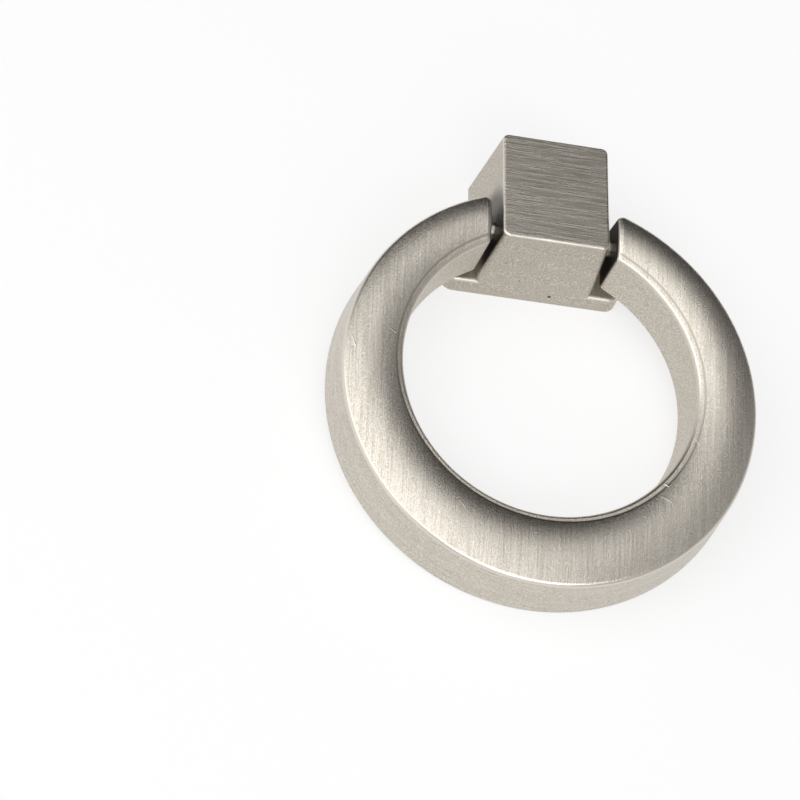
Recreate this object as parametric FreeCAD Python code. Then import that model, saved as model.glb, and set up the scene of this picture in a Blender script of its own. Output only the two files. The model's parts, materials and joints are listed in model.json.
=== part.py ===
"""Ring pull for a drawer or door front: a square post on a foot, a steel hinge pin and a heavy open ring.

Frame: the origin is the mouth of the screw hole, in the middle of the post's flat back. +Z points away from
the furniture front, +Y up it, and X runs along the hinge pin. The ring lies with its far end on the plane z = 0.
All sizes are millimetres and degrees.
"""
import FreeCAD
import Part
import math
import os

Vec = FreeCAD.Vector

# Post: a square block that narrows a little from its back to its front
POST_FRONT_WIDTH = 12.8
POST_FRONT_HEIGHT = 14.1
POST_PROJECTION = 12.5
POST_SIDE_DRAFT = 4.0
POST_FACE_DRAFT = 2.4
POST_CORNER_RADIUS = 0.8
POST_FRONT_EDGE_RADIUS = 0.3

# Foot: the thin plate behind the ring's two ends, flush with the lower side of the post
FOOT_THICKNESS = 2.4
FOOT_REACH = 3.5
FOOT_HEIGHT = 8.2
FOOT_CORNER_RADIUS = 1.5
FOOT_EDGE_RADIUS = 0.45

# Ring: round outside, with a round opening set nearer the hinge so that the grip is the widest place.
# The front is a crown, an arc of the same angle at every place round the ring.
RING_OUTER_RADIUS = 25.0
RING_OPENING_RADIUS = 17.3
RING_OPENING_OFFSET = 1.5
RING_OUTER_WALL = 7.3
RING_OPENING_WALL = 7.2
RING_CROWN_ARC = 44.0
RING_OUTER_DRAFT = 3.0
RING_OPENING_DRAFT = 1.5
RING_END_CORNER_RADIUS = 0.8
RING_CROWN_EDGE_RADIUS = 0.65
RING_BACK_EDGE_RADIUS = 0.3
CROWN_SECTIONS = 25
CROWN_SWEEP = 344.0
CROWN_OVERCUT = 1.0

# Hinge: a straight pin pressed through the post, with its ends turning in blind holes in the ring
PIN_RADIUS = 1.1
PIN_CHAMFER = 0.25
PIN_RUNNING_CLEARANCE = 0.05
PIN_GRIP_IN_RING = 3.4
PIN_END_CLEARANCE = 0.2
HINGE_BELOW_CENTRE = 4.05
HINGE_BELOW_FRONT = 4.1
HINGE_ABOVE_RING_BACK = 4.0
RING_END_GAP = 0.3
RING_FLOOR_CLEARANCE = 0.02

# Screw hole: a tapped blind hole in the post's back for a machine screw of 4 mm nominal diameter
SCREW_HOLE_RADIUS = 1.65
SCREW_HOLE_DEPTH = 9.0
SCREW_HOLE_CHAMFER = 0.35
DRILL_POINT_ANGLE = 118.0

# Edges are picked for rounding by where they lie, to within this distance
NEAR = 0.001

# Sizes that follow from those above
POST_BACK_WIDTH = POST_FRONT_WIDTH + 2 * POST_PROJECTION * math.tan(math.radians(POST_SIDE_DRAFT))
POST_BACK_HEIGHT = POST_FRONT_HEIGHT + 2 * POST_PROJECTION * math.tan(math.radians(POST_FACE_DRAFT))
FOOT_HALF_LENGTH = POST_BACK_WIDTH / 2 + FOOT_REACH
RING_END_X = POST_BACK_WIDTH / 2 + RING_END_GAP
PIN_HALF_LENGTH = RING_END_X + PIN_GRIP_IN_RING
HINGE_PROJECTION = POST_PROJECTION - HINGE_BELOW_FRONT
PIN_HOLE_RADIUS = PIN_RADIUS + PIN_RUNNING_CLEARANCE
PIN_HOLE_END_X = PIN_HALF_LENGTH + PIN_END_CLEARANCE

# The pin crosses the ring's ends midway between their outer and inner edges
END_OUTER_Y = math.sqrt(RING_OUTER_RADIUS ** 2 - RING_END_X ** 2)
END_OPENING_Y = RING_OPENING_OFFSET + math.sqrt(RING_OPENING_RADIUS ** 2 - RING_END_X ** 2)
HINGE_FROM_RING_CENTRE = (END_OUTER_Y + END_OPENING_Y) / 2

# At rest the ring leans until the back edge of its far end meets the plane of the post's back
RING_REACH = HINGE_FROM_RING_CENTRE + RING_OUTER_RADIUS - RING_BACK_EDGE_RADIUS
LEAN_RADIUS = math.hypot(RING_REACH, HINGE_ABOVE_RING_BACK - RING_BACK_EDGE_RADIUS)
LEAN_DROP = HINGE_PROJECTION - RING_FLOOR_CLEARANCE - RING_BACK_EDGE_RADIUS
RING_LEAN = math.degrees(
    math.asin(LEAN_DROP / LEAN_RADIUS)
    - math.atan2(HINGE_ABOVE_RING_BACK - RING_BACK_EDGE_RADIUS, RING_REACH)
)


def rectangle_wire(width, height, z):
    """A rectangle centred on the Z axis, in the plane at height z."""
    corners = [Vec(sx * width / 2, sy * height / 2, z) for sx, sy in ((-1, -1), (1, -1), (1, 1), (-1, 1))]
    return Part.makePolygon(corners + corners[:1])


def is_level(edge, z):
    """True for an edge that lies wholly in the plane at height z."""
    return abs(edge.BoundBox.ZMin - z) < NEAR and abs(edge.BoundBox.ZMax - z) < NEAR


def climbs_from(edge, z):
    """True for an edge that starts in the plane at height z and climbs away from it."""
    return abs(edge.BoundBox.ZMin - z) < NEAR and edge.BoundBox.ZLength > NEAR


def make_post_block():
    """The drafted block, with rounded corners and a softened front face."""
    block = Part.makeLoft(
        [
            rectangle_wire(POST_BACK_WIDTH, POST_BACK_HEIGHT, 0),
            rectangle_wire(POST_FRONT_WIDTH, POST_FRONT_HEIGHT, POST_PROJECTION),
        ],
        True,
        True,
    )
    block = block.makeFillet(POST_CORNER_RADIUS, [e for e in block.Edges if climbs_from(e, 0)])
    return block.makeFillet(POST_FRONT_EDGE_RADIUS, [e for e in block.Edges if is_level(e, POST_PROJECTION)])


def make_foot():
    """The plate behind the ring's ends, with its lower side in the plane of the post's lower side."""
    low = -POST_BACK_HEIGHT / 2
    rise = FOOT_THICKNESS * math.tan(math.radians(POST_FACE_DRAFT))
    profile = [
        Vec(-FOOT_HALF_LENGTH, low, 0),
        Vec(-FOOT_HALF_LENGTH, low + rise, FOOT_THICKNESS),
        Vec(-FOOT_HALF_LENGTH, low + FOOT_HEIGHT - rise, FOOT_THICKNESS),
        Vec(-FOOT_HALF_LENGTH, low + FOOT_HEIGHT, 0),
    ]
    foot = Part.Face(Part.makePolygon(profile + profile[:1])).extrude(Vec(2 * FOOT_HALF_LENGTH, 0, 0))
    foot = foot.makeFillet(FOOT_CORNER_RADIUS, [e for e in foot.Edges if climbs_from(e, 0)])
    return foot.makeFillet(FOOT_EDGE_RADIUS, [e for e in foot.Edges if is_level(e, FOOT_THICKNESS)])


def make_screw_hole():
    """The tapped hole as a tool to cut with: a chamfered mouth, a plain wall and a drill point."""
    point = SCREW_HOLE_RADIUS / math.tan(math.radians(DRILL_POINT_ANGLE / 2))
    profile = [
        Vec(0, 0, -SCREW_HOLE_CHAMFER),
        Vec(SCREW_HOLE_RADIUS + 2 * SCREW_HOLE_CHAMFER, 0, -SCREW_HOLE_CHAMFER),
        Vec(SCREW_HOLE_RADIUS, 0, SCREW_HOLE_CHAMFER),
        Vec(SCREW_HOLE_RADIUS, 0, SCREW_HOLE_DEPTH),
        Vec(0, 0, SCREW_HOLE_DEPTH + point),
    ]
    face = Part.Face(Part.makePolygon(profile + profile[:1]))
    return face.revolve(Vec(0, 0, 0), Vec(0, 0, 1), 360)


def along_hinge(radius, start_x, length):
    """A cylinder on the hinge axis, in the frame of the whole handle."""
    return Part.makeCylinder(radius, length, Vec(start_x, -HINGE_BELOW_CENTRE, HINGE_PROJECTION), Vec(1, 0, 0))


def make_post():
    """The post and its foot, cast in one piece, with the cross hole for the pin and the screw hole."""
    post = make_post_block().fuse(make_foot()).removeSplitter()
    cross_hole = along_hinge(PIN_RADIUS, -POST_BACK_WIDTH, 2 * POST_BACK_WIDTH)
    return post.cut(cross_hole).cut(make_screw_hole())


def make_hinge_pin():
    """The straight steel pin, chamfered at both ends."""
    pin = along_hinge(PIN_RADIUS, -PIN_HALF_LENGTH, 2 * PIN_HALF_LENGTH)
    return pin.makeChamfer(PIN_CHAMFER, [e for e in pin.Edges if e.BoundBox.XLength < NEAR])


def opening_reach(angle, radius):
    """How far the opening's wall lies from the ring's centre, in a direction measured from the far end."""
    lean = -RING_OPENING_OFFSET * math.cos(angle)
    return lean + math.sqrt(radius ** 2 - (RING_OPENING_OFFSET * math.sin(angle)) ** 2)


def crown_section(angle):
    """The space above the crown in one radial plane: the arc, run on past both walls, and a box on top."""
    outer = RING_OUTER_RADIUS - RING_OUTER_WALL * math.tan(math.radians(RING_OUTER_DRAFT))
    opening = RING_OPENING_RADIUS + RING_OPENING_WALL * math.tan(math.radians(RING_OPENING_DRAFT))
    inner = opening_reach(angle, opening)
    half_arc = math.radians(RING_CROWN_ARC) / 2
    chord = math.hypot(outer - inner, RING_OUTER_WALL - RING_OPENING_WALL)
    radius = chord / (2 * math.sin(half_arc))
    slope = math.atan2(RING_OUTER_WALL - RING_OPENING_WALL, outer - inner)
    drop = radius * math.cos(half_arc)
    centre_r = (outer + inner) / 2 + drop * math.sin(slope)
    centre_z = (RING_OUTER_WALL + RING_OPENING_WALL) / 2 - drop * math.cos(slope)
    reach = half_arc + CROWN_OVERCUT / radius

    def place(r, z):
        return Vec(r * math.sin(angle), -r * math.cos(angle), z)

    def on_arc(turn):
        return place(centre_r + radius * math.sin(turn - slope), centre_z + radius * math.cos(turn - slope))

    first = on_arc(-reach)
    last = on_arc(reach)
    top = RING_OUTER_WALL + RING_OUTER_RADIUS / 4
    first_top = Vec(first.x, first.y, top)
    last_top = Vec(last.x, last.y, top)
    return Part.Wire(
        [
            Part.Arc(first, on_arc(0), last).toShape(),
            Part.makeLine(last, last_top),
            Part.makeLine(last_top, first_top),
            Part.makeLine(first_top, first),
        ]
    )


def make_ring_blank():
    """The ring with its gap cut, before any edge is softened: drafted walls and the crown between them."""
    height = RING_OUTER_WALL + RING_OUTER_RADIUS / 8
    top_radius = RING_OUTER_RADIUS - height * math.tan(math.radians(RING_OUTER_DRAFT))
    opening_top = RING_OPENING_RADIUS + height * math.tan(math.radians(RING_OPENING_DRAFT))
    outside = Part.makeCone(RING_OUTER_RADIUS, top_radius, height)
    opening = Part.makeCone(RING_OPENING_RADIUS, opening_top, height, Vec(RING_OPENING_OFFSET, 0, 0))
    walls = outside.cut(opening)
    walls.rotate(Vec(0, 0, 0), Vec(0, 0, 1), 90)
    gap = Part.makeBox(2 * RING_END_X, 2 * RING_OUTER_RADIUS, 3 * height, Vec(-RING_END_X, 0, -height))
    turns = [math.radians(CROWN_SWEEP * (i / (CROWN_SECTIONS - 1) - 0.5)) for i in range(CROWN_SECTIONS)]
    above_crown = Part.makeLoft([crown_section(turn) for turn in turns], True)
    return walls.cut(gap).cut(above_crown).Solids[0]


def make_ring_flat():
    """The ring on its back about its own centre, with soft edges and the pin holes."""
    ring = make_ring_blank()
    ring = ring.makeFillet(RING_END_CORNER_RADIUS, [e for e in ring.Edges if climbs_from(e, 0)])
    crown_edges = [e for e in ring.Edges if e.BoundBox.ZMin > RING_OPENING_WALL / 2]
    ring = ring.makeFillet(RING_CROWN_EDGE_RADIUS, crown_edges)
    ring = ring.makeFillet(RING_BACK_EDGE_RADIUS, [e for e in ring.Edges if is_level(e, 0)])
    pin_hole = Part.makeCylinder(
        PIN_HOLE_RADIUS,
        2 * PIN_HOLE_END_X,
        Vec(-PIN_HOLE_END_X, HINGE_FROM_RING_CENTRE, HINGE_ABOVE_RING_BACK),
        Vec(1, 0, 0),
    )
    return ring.cut(pin_hole).Solids[0]


def make_ring():
    """The ring on its pin, leaning until its far end meets the plane of the post's back."""
    ring = make_ring_flat()
    ring.translate(Vec(0, -HINGE_FROM_RING_CENTRE, -HINGE_ABOVE_RING_BACK))
    ring.rotate(Vec(0, 0, 0), Vec(1, 0, 0), RING_LEAN)
    ring.translate(Vec(0, -HINGE_BELOW_CENTRE, HINGE_PROJECTION))
    return ring


def main():
    os.makedirs("parts", exist_ok=True)
    make_post().exportStep("parts/post.step")
    make_hinge_pin().exportStep("parts/hinge_pin.step")
    make_ring().exportStep("parts/ring.step")


if __name__ == "__main__":
    main()
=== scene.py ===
"""Ring pull handle: the finishes of its post, ring and pin, the thread in its screw hole, and a studio."""

import json
import math

import bpy
from mathutils import Matrix, Vector


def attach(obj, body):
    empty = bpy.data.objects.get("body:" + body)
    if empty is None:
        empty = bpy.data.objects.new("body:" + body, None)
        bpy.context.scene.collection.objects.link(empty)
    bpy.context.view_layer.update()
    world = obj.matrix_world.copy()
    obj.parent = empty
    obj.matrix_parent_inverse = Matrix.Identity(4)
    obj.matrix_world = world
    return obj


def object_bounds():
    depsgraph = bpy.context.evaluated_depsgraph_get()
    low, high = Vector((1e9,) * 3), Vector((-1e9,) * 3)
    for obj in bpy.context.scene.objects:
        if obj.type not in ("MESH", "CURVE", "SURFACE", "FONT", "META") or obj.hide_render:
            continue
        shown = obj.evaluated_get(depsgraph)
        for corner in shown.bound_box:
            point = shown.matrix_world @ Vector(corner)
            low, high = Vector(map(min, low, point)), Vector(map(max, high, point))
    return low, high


bl_info = {
    "name": "Ring pull handle",
    "version": (1, 0, 0),
    "blender": (4, 5, 0),
    "location": "3D View > Sidebar > Ring pull",
    "description": "Finishes a satin nickel ring pull handle and sets it in a studio",
    "category": "Object",
}

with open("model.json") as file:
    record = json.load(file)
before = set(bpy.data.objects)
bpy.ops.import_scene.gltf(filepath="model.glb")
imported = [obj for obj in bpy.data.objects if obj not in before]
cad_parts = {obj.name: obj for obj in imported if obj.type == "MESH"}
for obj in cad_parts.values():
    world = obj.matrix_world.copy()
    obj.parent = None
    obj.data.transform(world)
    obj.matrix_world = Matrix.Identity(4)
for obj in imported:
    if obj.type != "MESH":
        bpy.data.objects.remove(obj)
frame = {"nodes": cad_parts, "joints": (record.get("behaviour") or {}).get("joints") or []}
CAD_BOX = [list(corner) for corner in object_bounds()]
MM = 0.001

# Directions: along the hinge pin, towards the hinge end, and away from the face that the handle is fixed to
ALONG_PIN = (1.0, 0.0, 0.0)
TO_HINGE_END = (0.0, 1.0, 0.0)
OFF_THE_FACE = (0.0, 0.0, 1.0)

# Where the ring lies, from the hinge
HINGE = Vector(frame["joints"][0]["pos_m"])
RING_LEAN = math.radians(5.59)
HINGE_TO_RING_CENTRE = 20.44 * MM
HINGE_ABOVE_RING_BACK = 4.0 * MM
RING_AXIS = Vector((0.0, -math.sin(RING_LEAN), math.cos(RING_LEAN)))
RING_FORWARD = Vector((0.0, -math.cos(RING_LEAN), -math.sin(RING_LEAN)))
RING_CENTRE = HINGE + RING_FORWARD * HINGE_TO_RING_CENTRE - RING_AXIS * HINGE_ABOVE_RING_BACK

# The ring's outside and its opening, in the ring's own frame
RING_OUTER_RADIUS = 25.0 * MM
OPENING_RADIUS = 17.5 * MM
OPENING_OFFSET = 1.5 * MM

# The low lip along the opening: its foot and its crest, out from the opening, and its height
LIP_FOOT_RADIUS = OPENING_RADIUS + 0.85 * MM
LIP_CREST_RADIUS = OPENING_RADIUS + 0.25 * MM
LIP_HEIGHT = 0.12 * MM
# It fades in up the opening's wall, and grows from its share at the hinge to the whole at the far end
LIP_FADE_UP_WALL = (0.5 * MM, 6.5 * MM)
LIP_FADE_FROM_HINGE = (6.0 * MM, -10.0 * MM)
LIP_SHARE_AT_HINGE = 0.15

# Painted shade along the crease at the lip's foot, whose low level also dips the relief a little
CREASE_WIDTH = 0.18 * MM
CREASE_SHADE_AMOUNT = 0.7
CREASE_SHADE_LEVEL = 0.25

# Scratches on the ring: both ends and half the width, in millimetres
RING_SCRATCHES = (
    ((-23.67, -22.07, 10.21), (-23.19, -23.46, 10.23), 0.10),
    ((-19.22, -20.63, 10.55), (-18.59, -20.96, 10.38), 0.09),
    ((-24.24, -18.81, 5.64), (-24.62, -22.79, 8.45), 0.08),
    ((13.09, -36.89, 8.89), (14.21, -37.47, 9.07), 0.07),
    ((-10.62, -40.71, 8.81), (-9.91, -41.60, 8.76), 0.07),
    ((17.20, -29.11, 9.42), (17.62, -29.78, 9.54), 0.07),
    ((13.60, -35.10, 8.84), (13.90, -35.34, 8.90), 0.16),
)

# Casting pits in the post: the middle and the radius, in millimetres
POST_PITS = (
    ((2.24, -7.51, 1.42), 0.26),
    ((-2.11, -7.42, 3.76), 0.13),
    ((-4.6, -7.30, 6.9), 0.10),
)

# The part of a scratch, a pit, a painted shade line in a crease and a patch of painted shade in the hinge's
# gaps that has the full mark, before it fades
SCRATCH_CORE = 0.3
PIT_CORE = 0.5
CREASE_CORE = 0.2
GAP_SHADE_CORE = 0.6

# Painted shade in the hinge's gaps, where the faces that meet there fall dark: how squarely a face looks
# along the pin, how far it goes, how much and its colour, which the casting pits share
GAP_SHADE_FACING = (0.8, 0.95)
POST_GAP_SHADE_REACH = 6.0 * MM
RING_GAP_SHADE_REACH = 9.0 * MM
GAP_SHADE_AMOUNT = 0.8
PIT_AND_GAP_SHADE_COLOUR = (0.05, 0.045, 0.04)

# Rubbed edges: how squarely a face looks forward where the rubbing fades in and out, and its level
WORN_FADE_IN = (0.2, 0.35)
WORN_FADE_OUT = (0.88, 0.78)
WORN_LEVEL = 0.58

# Brush lines: the scale of the coarse lines among the fine ones, and their share
COARSE_LINE_SCALE = 0.35
COARSE_LINE_SHARE = 0.3

# The post's front: how squarely it looks forward, where it starts, its bolder lines and the grain among them
FRONT_FACING = (0.7, 0.9)
FRONT_START = (8.0 * MM, 10.0 * MM)
FRONT_LINE_RANGE = (-0.25, 1.25)
FRONT_GRAIN_SHARE = 0.35
POST_GRAIN_DROP = 0.05

# The ring's crown and rim: how squarely each looks forward or outward, and the shares of their finishes.
# The rim's is a length, because it is measured with the way out from the ring's middle
CROWN_FACING = (0.65, 0.85)
CROWN_GRAIN_SHARE = 0.6
RIM_FACING = (2.0 * MM, 8.0 * MM)
RIM_LINE_SHARE = 0.35
RIM_BRUSHED_SHARE = 0.4

# The plating: the levels that its streaks fade between, the blasted grain's range, its gloss and its relief
STREAK_LEVELS = (0.37, 0.57)
BLASTED_RANGE = (-0.40, 1.34)
ROUGHNESS_RANGE = (0.10, -0.10)
BRUSHED_ANISOTROPY = 0.6
BLASTED_RELIEF = 0.7
BRUSHED_RELIEF = 0.8
RELIEF_DEPTH = 0.06 * MM

# Turned metal: the shade in its tool lines, the change in roughness, the relief, and the lines in a metre
TOOL_LINE_SHADE = 0.8
TOOL_LINE_ROUGHNESS = 0.06
TOOL_LINE_RELIEF = 0.15
TOOL_LINE_DEPTH = 0.02 * MM
PIN_LINE_SCALE = (9000.0, 300.0, 300.0)
THREAD_LINE_SCALE = (400.0, 400.0, 9000.0)

# The tapped hole in the post's back and its thread
SCREW_HOLE_RADIUS = 1.65 * MM
THREAD_PROFILE_CORNERS = 4
THREAD_STEPS = 36
THREAD_SMOOTH_ANGLE = math.radians(30.0)
THREAD_ROUGHNESS = 0.35

# Studio floor: its size in metres, its white share, and its faint speckle
FLOOR_SIZE = 4.0
FLOOR_WHITE_SHARE = 0.7
FLOOR_SPECKLE_SCALE = 60.0
FLOOR_SPECKLE_SHADE = 0.99

# Studio walls: how bright they are in front, behind and on the left, and where each fades into the next
WALL_LEVEL = 0.42
BACK_WALL_LEVEL = 0.05
BACK_WALL_FADE = (0.10, 0.65)
LEFT_WALL_LEVEL = 0.90
LEFT_WALL_FADE = (0.45, 0.75)

# Softboxes: their places, what they are aimed at and their sizes, in metres
OVERHEAD_PLACE = (-0.38, -0.16, 0.60)
OVERHEAD_AIM = (-0.38, -0.16, 0.0)
OVERHEAD_SIZE = (1.04, 1.02)
FRONT_LIGHT_PLACE = (0.10, -0.70, 0.55)
FRONT_LIGHT_AIM = (0.0, -0.02, 0.0)
FRONT_LIGHT_SIZE = (0.60, 0.40)

# Camera: the width of its sensor in millimetres, and the nearest distance that it shows
SENSOR_WIDTH = 36.0
NEAREST_SHOWN = 10.0 * MM


class SatinNickelSettings(bpy.types.PropertyGroup):
    """Colour and surface of the plated castings."""

    colour: bpy.props.FloatVectorProperty(
        name="Nickel colour", description="Colour of the plating", subtype="COLOR", size=3,
        min=0.0, max=1.0, default=(0.74, 0.69, 0.62))
    dark_colour: bpy.props.FloatVectorProperty(
        name="Streak colour", description="Colour in the bottom of the brush lines", subtype="COLOR", size=3,
        min=0.0, max=1.0, default=(0.44, 0.40, 0.335))
    worn_colour: bpy.props.FloatVectorProperty(
        name="Worn colour", description="Colour of the rubbed edges", subtype="COLOR", size=3,
        min=0.0, max=1.0, default=(0.74, 0.69, 0.62))
    brushed_roughness: bpy.props.FloatProperty(
        name="Brushed roughness", description="Roughness of the brushed faces", subtype="FACTOR",
        min=0.0, max=1.0, default=0.28)
    blasted_roughness: bpy.props.FloatProperty(
        name="Blasted roughness", description="Roughness of the blasted faces", subtype="FACTOR",
        min=0.0, max=1.0, default=0.42)
    brush_width: bpy.props.FloatProperty(
        name="Ring line width", description="Width of the brush lines on the ring", unit="LENGTH",
        min=0.02 * MM, max=2.0 * MM, default=0.11 * MM)
    front_brush_width: bpy.props.FloatProperty(
        name="Front line width", description="Width of the brush lines on the post's front", unit="LENGTH",
        min=0.02 * MM, max=2.0 * MM, default=0.12 * MM)
    brush_length: bpy.props.FloatProperty(
        name="Brush line length", description="Length of one brush line", unit="LENGTH",
        min=1.0 * MM, max=100.0 * MM, default=5.0 * MM)
    grain_size: bpy.props.FloatProperty(
        name="Grain size", description="Size of the blasted grain", unit="LENGTH",
        min=0.02 * MM, max=2.0 * MM, default=0.12 * MM)


class PinSteelSettings(bpy.types.PropertyGroup):
    """Colour and surface of the hinge pin."""

    colour: bpy.props.FloatVectorProperty(
        name="Steel colour", description="Colour of the pin", subtype="COLOR", size=3,
        min=0.0, max=1.0, default=(0.66, 0.62, 0.55))
    roughness: bpy.props.FloatProperty(
        name="Pin roughness", description="Roughness of the pin", subtype="FACTOR",
        min=0.0, max=1.0, default=0.28)


class ScrewThreadSettings(bpy.types.PropertyGroup):
    """The thread in the screw hole."""

    pitch: bpy.props.FloatProperty(
        name="Pitch", description="Distance from one turn to the next", unit="LENGTH",
        min=0.2 * MM, max=2.0 * MM, default=0.7 * MM)
    height: bpy.props.FloatProperty(
        name="Height", description="How far the thread stands in from the wall", unit="LENGTH",
        min=0.05 * MM, max=1.0 * MM, default=0.2 * MM)
    turns: bpy.props.IntProperty(
        name="Turns", description="Number of turns", min=1, max=20, default=11)
    start: bpy.props.FloatProperty(
        name="Start", description="Depth of the first turn in the hole", unit="LENGTH", default=0.55 * MM)


class StudioSettings(bpy.types.PropertyGroup):
    """Camera, floor and lights."""

    azimuth: bpy.props.FloatProperty(
        name="Azimuth", description="Heading of the view, from the handle's length", subtype="ANGLE",
        default=math.radians(22.70))
    elevation: bpy.props.FloatProperty(
        name="Elevation", description="How steeply the camera looks down", subtype="ANGLE",
        default=math.radians(56.80))
    roll: bpy.props.FloatProperty(
        name="Roll", description="Turn of the camera about its view", subtype="ANGLE",
        default=math.radians(27.15))
    distance: bpy.props.FloatProperty(
        name="Distance", description="Distance from the camera to its target", unit="LENGTH",
        default=455.7 * MM)
    target: bpy.props.FloatVectorProperty(
        name="Target", description="Point in the middle of the picture", subtype="XYZ", size=3,
        default=(-16.68 * MM, -26.56 * MM, 5.0 * MM))
    lens: bpy.props.FloatProperty(
        name="Lens", description="Focal length on a 36 mm sensor, in millimetres", default=180.0)
    floor_colour: bpy.props.FloatVectorProperty(
        name="Floor colour", description="Colour of the floor", subtype="COLOR", size=3,
        min=0.0, max=1.0, default=(0.97, 0.97, 0.97))
    overhead_power: bpy.props.FloatProperty(
        name="Overhead power", description="Power of the softbox overhead", unit="POWER",
        min=0.0, default=4.0)
    front_power: bpy.props.FloatProperty(
        name="Front power", description="Power of the softbox in front", unit="POWER",
        min=0.0, default=1.8)


def set_or_link(tree, socket, value):
    """Give a socket a link from another socket, or else a value."""
    if isinstance(value, bpy.types.NodeSocket):
        tree.links.new(value, socket)
    else:
        socket.default_value = value


def add_node(tree, kind, inputs=None, **settings):
    """Add a shader node, with its settings and its values or links."""
    made = tree.nodes.new(kind)
    for key, value in settings.items():
        setattr(made, key, value)
    for key, value in (inputs or {}).items():
        set_or_link(tree, made.inputs[key], value)
    return made


def maths(tree, operation, first, second=0.0):
    """The result of a sum on two numbers."""
    return add_node(tree, "ShaderNodeMath", {0: first, 1: second}, operation=operation).outputs[0]


def product(tree, first, second):
    return maths(tree, "MULTIPLY", first, second)


def larger(tree, first, second):
    return maths(tree, "MAXIMUM", first, second)


def vector_maths(tree, operation, first, second):
    """The outputs of a sum on two vectors."""
    return add_node(tree, "ShaderNodeVectorMath", {0: first, 1: second}, operation=operation).outputs


def dot(tree, first, second):
    return vector_maths(tree, "DOT_PRODUCT", first, second)["Value"]


def distance(tree, first, second):
    return vector_maths(tree, "DISTANCE", first, second)["Value"]


def stretched(tree, place, scale):
    return vector_maths(tree, "MULTIPLY", place, scale)["Vector"]


def fade(tree, value, low, high):
    """0 at low, 1 at high, and smooth between. Low may be the larger of the two."""
    inputs = {"Value": value, "From Min": low, "From Max": high}
    return add_node(tree, "ShaderNodeMapRange", inputs, interpolation_type="SMOOTHSTEP").outputs["Result"]


def spread(tree, value, low, high):
    """Values from 0 to 1 taken to the range from low to high."""
    inputs = {"Value": value, "To Min": low, "To Max": high}
    return add_node(tree, "ShaderNodeMapRange", inputs).outputs["Result"]


def mix(tree, data_type, socket_type, factor, first, second):
    """A mix of two values. The node has sockets of the same name for each type, so identifiers find them."""
    made = add_node(tree, "ShaderNodeMix", data_type=data_type)
    values = {"Factor_Float": factor, "A_" + socket_type: first, "B_" + socket_type: second}
    for socket in made.inputs:
        if socket.identifier in values:
            set_or_link(tree, socket, values[socket.identifier])
    return next(out for out in made.outputs if out.identifier == "Result_" + socket_type)


def mix_value(tree, factor, first, second):
    return mix(tree, "FLOAT", "Float", factor, first, second)


def mix_vector(tree, factor, first, second):
    return mix(tree, "VECTOR", "Vector", factor, first, second)


def mix_colour(tree, factor, first, second):
    return mix(tree, "RGBA", "Color", factor, first, second)


def opaque(colour):
    return (*colour, 1.0)


def grey(level):
    return (level, level, level, 1.0)


def shaded(colour, share):
    return [share * channel for channel in colour]


def new_material(name):
    """An empty node material and its tree."""
    material = bpy.data.materials.new(name)
    material.use_nodes = True
    material.node_tree.nodes.clear()
    return material, material.node_tree


def end_in_metal(tree, inputs):
    """Finish a material with a metal shader."""
    shader = add_node(tree, "ShaderNodeBsdfPrincipled", {"Metallic": 1.0, **inputs})
    add_node(tree, "ShaderNodeOutputMaterial", {"Surface": shader.outputs[0]})


def noise(tree, place, detail=2.0, roughness=0.5):
    """Soft noise from 0 to 1, with features about one unit of place in size."""
    inputs = {"Vector": place, "Scale": 1.0, "Detail": detail, "Roughness": roughness}
    return add_node(tree, "ShaderNodeTexNoise", inputs).outputs["Fac"]


def brush_lines(tree, place, across, along, width, length):
    """Fine and coarse lines; across and along are unit steps of place over and along the lines."""
    fine = Vector(across) / width + Vector(along) / length
    fine_lines = noise(tree, stretched(tree, place, fine), detail=3.0, roughness=0.6)
    coarse_lines = noise(tree, stretched(tree, place, fine * COARSE_LINE_SCALE))
    return mix_value(tree, COARSE_LINE_SHARE, fine_lines, coarse_lines)


def blasted_grain(tree, place, settings):
    """The even grain of a blasted face."""
    scale = 1.0 / settings.grain_size
    return noise(tree, stretched(tree, place, (scale, scale, scale)), roughness=0.6)


def near_line(tree, place, start, end, width):
    """1 on the line from start to end, and 0 beyond its width."""
    run = (Vector(end) - Vector(start)) * MM
    offset = vector_maths(tree, "SUBTRACT", place, Vector(start) * MM)["Vector"]
    share = maths(tree, "DIVIDE", dot(tree, offset, run), run.length_squared)
    share.node.use_clamp = True
    foot = add_node(tree, "ShaderNodeVectorMath", {0: run, "Scale": share}, operation="SCALE").outputs[0]
    return fade(tree, distance(tree, offset, foot), width * MM, SCRATCH_CORE * width * MM)


def near_point(tree, place, middle, radius):
    """1 at the middle, and 0 beyond the radius."""
    return fade(tree, distance(tree, place, Vector(middle) * MM), radius * MM, PIT_CORE * radius * MM)


def near_value(tree, value, middle, width):
    """1 at the middle value, and 0 beyond the width on either side."""
    off_middle = maths(tree, "ABSOLUTE", maths(tree, "SUBTRACT", value, middle))
    return fade(tree, off_middle, width, CREASE_CORE * width)


def worn_edge(tree, forward):
    """The rounded edges between the front and the walls, rubbed smooth."""
    return product(tree, fade(tree, forward, *WORN_FADE_IN), fade(tree, forward, *WORN_FADE_OUT))


def painted_gap_shade(tree, place, reach):
    """Painted shade on the faces that meet at the hinge, out to a reach from the pin's axis."""
    sideways = maths(tree, "ABSOLUTE", dot(tree, place["Normal"], ALONG_PIN))
    across_pin = stretched(tree, place["Object"], (0.0, 1.0, 1.0))
    from_pin = distance(tree, across_pin, (0.0, HINGE.y, HINGE.z))
    near_pin = fade(tree, from_pin, reach, GAP_SHADE_CORE * reach)
    return product(tree, product(tree, fade(tree, sideways, *GAP_SHADE_FACING), near_pin), GAP_SHADE_AMOUNT)


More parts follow.
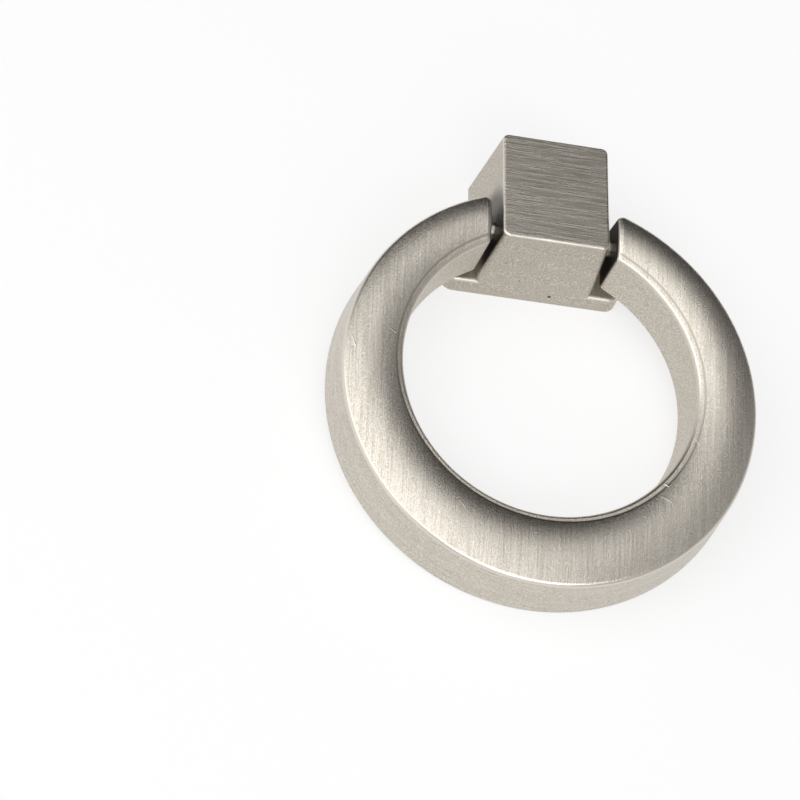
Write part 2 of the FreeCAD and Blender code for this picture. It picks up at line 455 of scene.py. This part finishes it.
def plating_colour(tree, settings, level, brushed, worn, dark):
    """Colour of the plating: streaks by its level, then the rubbed edges, then the dark pits and the painted
    shade in the hinge's gaps.
    """
    bright = mix_value(tree, brushed, spread(tree, level, *BLASTED_RANGE), level)
    streaks = fade(tree, bright, *STREAK_LEVELS)
    plated = mix_colour(tree, streaks, opaque(settings.dark_colour), opaque(settings.colour))
    rubbed = mix_colour(tree, worn, plated, opaque(settings.worn_colour))
    return mix_colour(tree, dark, rubbed, opaque(PIT_AND_GAP_SHADE_COLOUR))


def plating_relief(tree, level, brushed, lip):
    """Normals of the plating: its fine relief on top of the lip's."""
    inputs = {"Strength": 1.0, "Distance": LIP_HEIGHT, "Height": lip}
    shape = add_node(tree, "ShaderNodeBump", inputs).outputs[0]
    strength = mix_value(tree, brushed, BLASTED_RELIEF, BRUSHED_RELIEF)
    inputs = {"Strength": strength, "Distance": RELIEF_DEPTH, "Height": level, "Normal": shape}
    return add_node(tree, "ShaderNodeBump", inputs).outputs[0]


def finish_plating(tree, settings, level, brushed, tangent, worn, dark, lip=0.0):
    """End a plated material. Level runs from 0 in the bottom of its relief to 1, brushed and worn are shares
    of those finishes, the tangent points across the brush lines, and dark is the share of pits and of painted
    shade in the hinge's gaps."""
    smooth = mix_value(tree, brushed, settings.blasted_roughness, settings.brushed_roughness)
    to_world = add_node(
        tree, "ShaderNodeVectorTransform", {"Vector": tangent}, vector_type="VECTOR",
        convert_from="OBJECT", convert_to="WORLD")
    end_in_metal(tree, {
        "Base Color": plating_colour(tree, settings, level, brushed, worn, dark),
        "Roughness": maths(tree, "ADD", smooth, spread(tree, level, *ROUGHNESS_RANGE)),
        "Anisotropic": BRUSHED_ANISOTROPY,
        "Normal": plating_relief(tree, level, brushed, lip),
        "Tangent": to_world.outputs[0],
    })


def post_nickel(settings):
    """Plating of the post: the front is brushed across, the sides and the foot are blasted."""
    material, tree = new_material("satin nickel, post")
    place = add_node(tree, "ShaderNodeTexCoord").outputs
    lines = brush_lines(
        tree, place["Object"], (0, 1, 1), (1, 0, 0), settings.front_brush_width, settings.brush_length)
    bold_lines = spread(tree, lines, *FRONT_LINE_RANGE)
    grain = maths(tree, "SUBTRACT", blasted_grain(tree, place["Object"], settings), POST_GRAIN_DROP)
    forward = dot(tree, place["Normal"], OFF_THE_FACE)
    high = add_node(tree, "ShaderNodeSeparateXYZ", {0: place["Object"]}).outputs["Z"]
    front = product(tree, fade(tree, forward, *FRONT_FACING), fade(tree, high, *FRONT_START))
    level = mix_value(tree, front, grain, mix_value(tree, FRONT_GRAIN_SHARE, bold_lines, grain))
    worn = worn_edge(tree, forward)
    level = mix_value(tree, worn, level, WORN_LEVEL)
    pits = 0.0
    for middle, radius in POST_PITS:
        pits = larger(tree, near_point(tree, place["Object"], middle, radius), pits)
    level = mix_value(tree, pits, level, 0.0)
    # The pits, and painted shade on the post's sides where they meet the ring's ends at the hinge
    dark = larger(tree, pits, painted_gap_shade(tree, place, POST_GAP_SHADE_REACH))
    finish_plating(tree, settings, level, front, TO_HINGE_END, worn, dark)
    return material


def ring_place(tree, place):
    """A place in the ring's own frame, its axes there, and the same place with no height."""
    inputs = {"Vector": place, "Location": RING_CENTRE, "Rotation": (RING_LEAN, 0.0, 0.0)}
    own = add_node(tree, "ShaderNodeMapping", inputs, vector_type="TEXTURE").outputs[0]
    axes = add_node(tree, "ShaderNodeSeparateXYZ", {0: own}).outputs
    flat = add_node(tree, "ShaderNodeCombineXYZ", {"X": axes["X"], "Y": axes["Y"]}).outputs[0]
    return own, axes, flat


def unrolled_rim(tree, axes):
    """A place on the ring's outside, with X the way round it."""
    around = product(tree, maths(tree, "ARCTAN2", axes["X"], axes["Y"]), RING_OUTER_RADIUS)
    return add_node(tree, "ShaderNodeCombineXYZ", {"X": around, "Z": axes["Z"]}).outputs[0]


def opening_lip(tree, from_opening, axes):
    """The low lip along the opening's edge, weak near the hinge and whole at the far end."""
    lip = fade(tree, from_opening, LIP_FOOT_RADIUS, LIP_CREST_RADIUS)
    lip = product(tree, lip, fade(tree, axes["Z"], *LIP_FADE_UP_WALL))
    share = mix_value(tree, fade(tree, axes["Y"], *LIP_FADE_FROM_HINGE), LIP_SHARE_AT_HINGE, 1.0)
    return product(tree, lip, share)


def lip_crease_shade(tree, from_opening, crown):
    """Painted shade: the darker line on the crown along the lip's foot."""
    line = near_value(tree, from_opening, LIP_FOOT_RADIUS, CREASE_WIDTH)
    return product(tree, product(tree, line, crown), CREASE_SHADE_AMOUNT)


def ring_nickel(settings):
    """Plating of the ring: the crown brushed along the handle, the rim round it, the opening blasted."""
    material, tree = new_material("satin nickel, ring")
    place = add_node(tree, "ShaderNodeTexCoord").outputs
    own, axes, flat = ring_place(tree, place["Object"])
    brush = (settings.brush_width, settings.brush_length)
    crown_lines = brush_lines(tree, own, (1, 0, 0), (0, 1, 1), *brush)
    rim_lines = brush_lines(tree, unrolled_rim(tree, axes), (0, 0, 1), (1, 1, 0), *brush)
    grain = blasted_grain(tree, own, settings)
    forward = dot(tree, place["Normal"], RING_AXIS)
    crown = fade(tree, forward, *CROWN_FACING)
    rim = fade(tree, dot(tree, place["Normal"], flat), *RIM_FACING)
    walls = mix_value(tree, product(tree, rim, RIM_LINE_SHARE), grain, rim_lines)
    satin = mix_value(tree, CROWN_GRAIN_SHARE, crown_lines, grain)
    level = mix_value(tree, crown, walls, satin)
    worn = worn_edge(tree, forward)
    level = mix_value(tree, worn, level, WORN_LEVEL)
    from_opening = distance(tree, flat, (0.0, OPENING_OFFSET, 0.0))
    # A line of painted shade along the lip's foot, which also dips the relief a little
    level = mix_value(tree, lip_crease_shade(tree, from_opening, crown), level, CREASE_SHADE_LEVEL)
    for start, end, width in RING_SCRATCHES:
        level = mix_value(tree, near_line(tree, place["Object"], start, end, width), level, 1.0)
    brushed = larger(tree, crown, product(tree, rim, RIM_BRUSHED_SHARE))
    tangent = mix_vector(tree, crown, RING_AXIS, ALONG_PIN)
    # Painted shade on the ring's cut ends, where they meet the post at the hinge
    dark = painted_gap_shade(tree, place, RING_GAP_SHADE_REACH)
    finish_plating(tree, settings, level, brushed, tangent, worn, dark, opening_lip(tree, from_opening, axes))
    return material


def turned_metal(name, colour, roughness, line_scale):
    """Metal with the fine lines of a cutting tool, closer together the larger the scale."""
    material, tree = new_material(name)
    place = add_node(tree, "ShaderNodeTexCoord").outputs["Object"]
    lines = noise(tree, stretched(tree, place, line_scale))
    relief = {"Strength": TOOL_LINE_RELIEF, "Distance": TOOL_LINE_DEPTH, "Height": lines}
    end_in_metal(tree, {
        "Base Color": mix_colour(tree, lines, opaque(shaded(colour, TOOL_LINE_SHADE)), opaque(colour)),
        "Roughness": spread(tree, lines, roughness + TOOL_LINE_ROUGHNESS, roughness - TOOL_LINE_ROUGHNESS),
        "Normal": add_node(tree, "ShaderNodeBump", relief).outputs[0],
    })
    return material


def give_finish(node_name, material):
    """Put one material on a CAD node."""
    slots = frame["nodes"][node_name].data.materials
    slots.clear()
    slots.append(material)


class RINGPULL_OT_finish_post(bpy.types.Operator):
    """Give the post its brushed and blasted nickel"""

    bl_idname = "ring_pull.finish_post"
    bl_label = "Finish the post"

    def execute(self, context):
        give_finish("post", post_nickel(context.scene.ring_pull_nickel))
        return {"FINISHED"}


class RINGPULL_OT_finish_ring(bpy.types.Operator):
    """Give the ring its brushed and blasted nickel"""

    bl_idname = "ring_pull.finish_ring"
    bl_label = "Finish the ring"

    def execute(self, context):
        give_finish("ring", ring_nickel(context.scene.ring_pull_nickel))
        return {"FINISHED"}


class RINGPULL_OT_finish_pin(bpy.types.Operator):
    """Give the hinge pin its turned steel"""

    bl_idname = "ring_pull.finish_pin"
    bl_label = "Finish the pin"

    def execute(self, context):
        settings = context.scene.ring_pull_pin
        steel = turned_metal("pin steel", settings.colour, settings.roughness, PIN_LINE_SCALE)
        give_finish("hinge_pin", steel)
        return {"FINISHED"}


def model_thread(settings):
    """A diamond swept round the hole's axis, half of it sunk in the wall."""
    bpy.ops.object.select_all(action="DESELECT")
    bpy.ops.mesh.primitive_circle_add(
        vertices=THREAD_PROFILE_CORNERS, radius=settings.height,
        location=(SCREW_HOLE_RADIUS, 0.0, settings.start), rotation=(math.pi / 2, 0.0, 0.0))
    bpy.ops.object.transform_apply(location=True, rotation=True, scale=True)
    thread = bpy.context.object
    thread.name = "screw_thread"
    sweep = thread.modifiers.new("sweep", "SCREW")
    sweep.screw_offset = settings.pitch
    sweep.iterations = settings.turns
    sweep.steps = THREAD_STEPS
    sweep.render_steps = THREAD_STEPS
    bpy.ops.object.modifier_apply(modifier=sweep.name)
    close_thread_ends(thread)
    bpy.ops.object.shade_smooth_by_angle(angle=THREAD_SMOOTH_ANGLE)
    return thread


def close_thread_ends(thread):
    """Fill the two open ends of the swept profile, and turn all the faces outwards."""
    last = len(thread.data.vertices)
    for end in (range(THREAD_PROFILE_CORNERS), range(last - THREAD_PROFILE_CORNERS, last)):
        bpy.ops.object.mode_set(mode="EDIT")
        bpy.ops.mesh.select_mode(type="VERT")
        bpy.ops.mesh.select_all(action="DESELECT")
        bpy.ops.object.mode_set(mode="OBJECT")
        for index in end:
            thread.data.vertices[index].select = True
        bpy.ops.object.mode_set(mode="EDIT")
        bpy.ops.mesh.edge_face_add()
        bpy.ops.object.mode_set(mode="OBJECT")
    bpy.ops.object.mode_set(mode="EDIT")
    bpy.ops.mesh.select_all(action="SELECT")
    bpy.ops.mesh.normals_make_consistent(inside=False)
    bpy.ops.object.mode_set(mode="OBJECT")


class RINGPULL_OT_cut_thread(bpy.types.Operator):
    """Model the thread in the screw hole"""

    bl_idname = "ring_pull.cut_thread"
    bl_label = "Cut the thread"

    def execute(self, context):
        thread = model_thread(context.scene.ring_pull_thread)
        colour = context.scene.ring_pull_nickel.colour
        thread.data.materials.append(turned_metal("cut thread", colour, THREAD_ROUGHNESS, THREAD_LINE_SCALE))
        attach(thread, "post")
        return {"FINISHED"}


def white_floor(settings):
    """Pale floor that shows white to the camera and to gloss, and keeps the shadow."""
    material, tree = new_material("studio floor")
    rays = add_node(tree, "ShaderNodeLightPath").outputs
    seen = larger(tree, rays["Is Camera Ray"], rays["Is Glossy Ray"])
    seen = larger(tree, seen, rays["Is Transmission Ray"])
    place = add_node(tree, "ShaderNodeTexCoord").outputs["Object"]
    scale = (FLOOR_SPECKLE_SCALE, FLOOR_SPECKLE_SCALE, FLOOR_SPECKLE_SCALE)
    speckle = noise(tree, stretched(tree, place, scale))
    speckle_colour = shaded(settings.floor_colour, FLOOR_SPECKLE_SHADE)
    pale = mix_colour(tree, speckle, opaque(settings.floor_colour), opaque(speckle_colour))
    matt = add_node(tree, "ShaderNodeBsdfDiffuse", {"Color": pale})
    white = add_node(tree, "ShaderNodeEmission", {"Color": grey(1.0), "Strength": 1.0})
    inputs = {0: product(tree, seen, FLOOR_WHITE_SHARE), 1: matt.outputs[0], 2: white.outputs[0]}
    mixed = add_node(tree, "ShaderNodeMixShader", inputs)
    add_node(tree, "ShaderNodeOutputMaterial", {"Surface": mixed.outputs[0]})
    return material


def add_floor(settings):
    """A wide floor at the height of the handle's back."""
    bpy.ops.object.select_all(action="DESELECT")
    bpy.ops.mesh.primitive_plane_add(size=FLOOR_SIZE, location=(0.0, 0.0, CAD_BOX[0][2]))
    floor = bpy.context.object
    floor.name = "studio_floor"
    floor.data.materials.append(white_floor(settings))


def add_softbox(name, place, target, size, power):
    """A rectangular softbox at a place, aimed at a target."""
    lamp = bpy.data.lights.new(name, "AREA")
    lamp.shape = "RECTANGLE"
    lamp.size, lamp.size_y = size
    lamp.energy = power
    box = bpy.data.objects.new(name, lamp)
    bpy.context.scene.collection.objects.link(box)
    box.location = place
    box.rotation_euler = (Vector(target) - Vector(place)).to_track_quat("-Z", "Y").to_euler()


def set_world():
    """Even dim studio walls, darker behind the handle and brighter on its left."""
    world = bpy.data.worlds.new("studio walls")
    bpy.context.scene.world = world
    world.use_nodes = True
    tree = world.node_tree
    tree.nodes.clear()
    way = add_node(tree, "ShaderNodeTexCoord").outputs["Generated"]
    behind = fade(tree, dot(tree, way, (0.0, 1.0, 0.0)), *BACK_WALL_FADE)
    left = fade(tree, dot(tree, way, (-1.0, 0.0, 0.0)), *LEFT_WALL_FADE)
    walls = mix_colour(tree, behind, grey(WALL_LEVEL), grey(BACK_WALL_LEVEL))
    walls = mix_colour(tree, left, walls, grey(LEFT_WALL_LEVEL))
    background = add_node(tree, "ShaderNodeBackground", {"Color": walls, "Strength": 1.0})
    add_node(tree, "ShaderNodeOutputWorld", {"Surface": background.outputs[0]})


def add_camera(settings):
    """Camera at the photograph's angle, turned about its view by the roll."""
    level = Vector((math.sin(settings.azimuth), math.cos(settings.azimuth), 0.0))
    forward = level * math.cos(settings.elevation) - Vector((0.0, 0.0, math.sin(settings.elevation)))
    right = forward.cross(Vector((0.0, 0.0, 1.0))).normalized()
    up = right.cross(forward)
    turned_right = right * math.cos(settings.roll) + up * math.sin(settings.roll)
    turned_up = up * math.cos(settings.roll) - right * math.sin(settings.roll)
    place = Vector(settings.target) - forward * settings.distance
    data = bpy.data.cameras.new("photo camera")
    data.lens = settings.lens
    data.sensor_width = SENSOR_WIDTH
    data.clip_start = NEAREST_SHOWN
    camera = bpy.data.objects.new("photo camera", data)
    bpy.context.scene.collection.objects.link(camera)
    turn = Matrix((turned_right, turned_up, -forward)).transposed()
    camera.matrix_world = Matrix.Translation(place) @ turn.to_4x4()
    bpy.context.scene.camera = camera


class RINGPULL_OT_set_stage(bpy.types.Operator):
    """Set the floor, the lights and the camera"""

    bl_idname = "ring_pull.set_stage"
    bl_label = "Set the stage"

    def execute(self, context):
        settings = context.scene.ring_pull_studio
        context.scene.view_settings.view_transform = "Standard"
        add_floor(settings)
        set_world()
        add_softbox(
            "overhead softbox", OVERHEAD_PLACE, OVERHEAD_AIM, OVERHEAD_SIZE, settings.overhead_power)
        add_softbox(
            "front softbox", FRONT_LIGHT_PLACE, FRONT_LIGHT_AIM, FRONT_LIGHT_SIZE, settings.front_power)
        add_camera(settings)
        return {"FINISHED"}


class RINGPULL_PT_sidebar(bpy.types.Panel):
    """Steps and settings of the handle"""

    bl_idname = "RINGPULL_PT_sidebar"
    bl_label = "Ring pull handle"
    bl_space_type = "VIEW_3D"
    bl_region_type = "UI"
    bl_category = "Ring pull"

    def draw(self, context):
        for step in STEPS:
            self.layout.operator(step.bl_idname)
        for group in SETTINGS:
            settings = getattr(context.scene, group)
            for key in settings.bl_rna.properties.keys():
                if key not in {"rna_type", "name"}:
                    self.layout.prop(settings, key)


SETTINGS = {
    "ring_pull_nickel": SatinNickelSettings,
    "ring_pull_pin": PinSteelSettings,
    "ring_pull_thread": ScrewThreadSettings,
    "ring_pull_studio": StudioSettings,
}
STEPS = (
    RINGPULL_OT_finish_post,
    RINGPULL_OT_finish_ring,
    RINGPULL_OT_finish_pin,
    RINGPULL_OT_cut_thread,
    RINGPULL_OT_set_stage,
)


def register():
    for group, kind in SETTINGS.items():
        bpy.utils.register_class(kind)
        setattr(bpy.types.Scene, group, bpy.props.PointerProperty(type=kind))
    for kind in (*STEPS, RINGPULL_PT_sidebar):
        bpy.utils.register_class(kind)


def unregister():
    for kind in (RINGPULL_PT_sidebar, *reversed(STEPS)):
        bpy.utils.unregister_class(kind)
    for group, kind in SETTINGS.items():
        delattr(bpy.types.Scene, group)
        bpy.utils.unregister_class(kind)


def main():
    register()
    bpy.ops.ring_pull.finish_post()
    bpy.ops.ring_pull.finish_ring()
    bpy.ops.ring_pull.finish_pin()
    bpy.ops.ring_pull.cut_thread()
    bpy.ops.ring_pull.set_stage()


if __name__ == "__main__":
    main()
